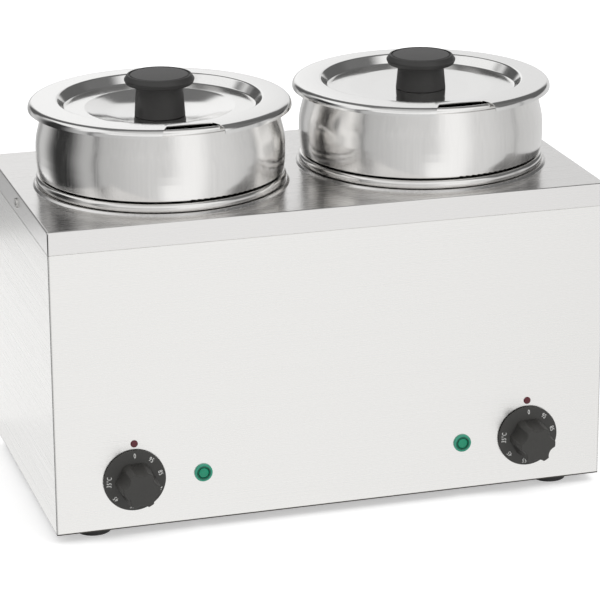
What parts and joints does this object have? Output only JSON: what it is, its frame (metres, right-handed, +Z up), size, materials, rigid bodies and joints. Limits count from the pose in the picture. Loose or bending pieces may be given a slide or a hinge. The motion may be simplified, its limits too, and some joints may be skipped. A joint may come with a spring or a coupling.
{
  "type": "bain marie",
  "caption": "Counter-top bain marie: lidded round pots lift out of heated wells in a stainless casing with thermostat knobs and pilot lamps on its front.",
  "frame": {"origin": "on the surface under the feet, below the middle of the whole object's box", "axes": "+X along the width, to the right of someone who faces the front; +Y to the rear; +Z up"},
  "size_m": [0.5036, 0.3056, 0.3782],
  "materials": {
    "panel_steel": "brushed along the length",
    "deck_steel": "bright",
    "well_steel": "polished",
    "pot_steel": "polished",
    "lid_steel": "polished",
    "base_steel": "mill finish",
    "fastener_steel": "turned",
    "element_steel": "oxidised",
    "foot_rubber": "matte",
    "lid_knob_plastic": "fine texture",
    "control_knob_plastic": "fine texture",
    "lamp_bezel_plastic": "gloss",
    "lamp_lens_green": "gloss, translucent look",
    "index_red": "gloss",
    "thermostat_plastic": "moulded",
    "capillary_copper": "drawn",
    "gland_plastic": "moulded",
    "terminal_plastic": "moulded",
    "earth_brass": "turned"
  },
  "bodies": {
    "casing": {"casing_wrap": "panel_steel", "rear_panel": "panel_steel", "deck_top": "deck_steel", "base_plate": "base_steel", "foot_front_left": "foot_rubber", "foot_front_right": "foot_rubber", "foot_rear_left": "foot_rubber", "foot_rear_right": "foot_rubber", "foot_screws": "fastener_steel", "foot_nuts": "fastener_steel", "base_screws": "fastener_steel", "rear_screws": "fastener_steel", "deck_side_screws": "fastener_steel", "well_left": "well_steel", "well_right": "well_steel", "heating_element_left": "element_steel", "heating_element_right": "element_steel", "clamp_plate_left": "base_steel", "clamp_plate_right": "base_steel", "clamp_nuts": "fastener_steel", "overheat_cutout_left": "thermostat_plastic", "overheat_cutout_right": "thermostat_plastic", "capillary_left": "capillary_copper", "capillary_right": "capillary_copper", "bulb_clips": "base_steel", "thermostat_left": "thermostat_plastic", "thermostat_right": "thermostat_plastic", "thermostat_screws": "fastener_steel", "pilot_lamp_body_left": "lamp_bezel_plastic", "pilot_lamp_body_right": "lamp_bezel_plastic", "pilot_lamp_lens_left": "lamp_lens_green", "pilot_lamp_lens_right": "lamp_lens_green", "pilot_lamp_nuts": "fastener_steel", "index_dot_left": "index_red", "index_dot_right": "index_red", "cable_gland": "gland_plastic", "gland_locknut": "gland_plastic", "terminal_block": "terminal_plastic", "terminal_block_screws": "fastener_steel", "earth_screw": "earth_brass", "earth_nut": "earth_brass"},
    "pot_left": {"pot_left": "pot_steel"},
    "lid_left": {"lid_left": "lid_steel", "lid_knob_left": "lid_knob_plastic", "lid_knob_screw_left": "fastener_steel"},
    "knob_left": {"control_knob_left": "control_knob_plastic", "thermostat_shaft_left": "fastener_steel"},
    "pot_right": {"pot_right": "pot_steel"},
    "lid_right": {"lid_right": "lid_steel", "lid_knob_right": "lid_knob_plastic", "lid_knob_screw_right": "fastener_steel"},
    "knob_right": {"control_knob_right": "control_knob_plastic", "thermostat_shaft_right": "fastener_steel"}
  },
  "joints": [
    {"name": "pot_left_lift", "type": "slide", "parent": "casing", "child": "pot_left", "axis": [0, 0, 1], "range_m": [0, 0.18]},
    {"name": "lid_left_lift", "type": "slide", "parent": "pot_left", "child": "lid_left", "axis": [0, 0, 1], "range_m": [0, 0.08]},
    {"name": "knob_left_turn", "type": "hinge", "parent": "casing", "child": "knob_left", "pos_m": [-0.1805, -0.12375, 0.053], "axis": [0, 1, 0], "range_deg": [0, 321]},
    {"name": "pot_right_lift", "type": "slide", "parent": "casing", "child": "pot_right", "axis": [0, 0, 1], "range_m": [0, 0.18]},
    {"name": "lid_right_lift", "type": "slide", "parent": "pot_right", "child": "lid_right", "axis": [0, 0, 1], "range_m": [0, 0.08]},
    {"name": "knob_right_turn", "type": "hinge", "parent": "casing", "child": "knob_right", "pos_m": [0.1805, -0.12375, 0.053], "axis": [0, 1, 0], "range_deg": [0, 321]}
  ]
}
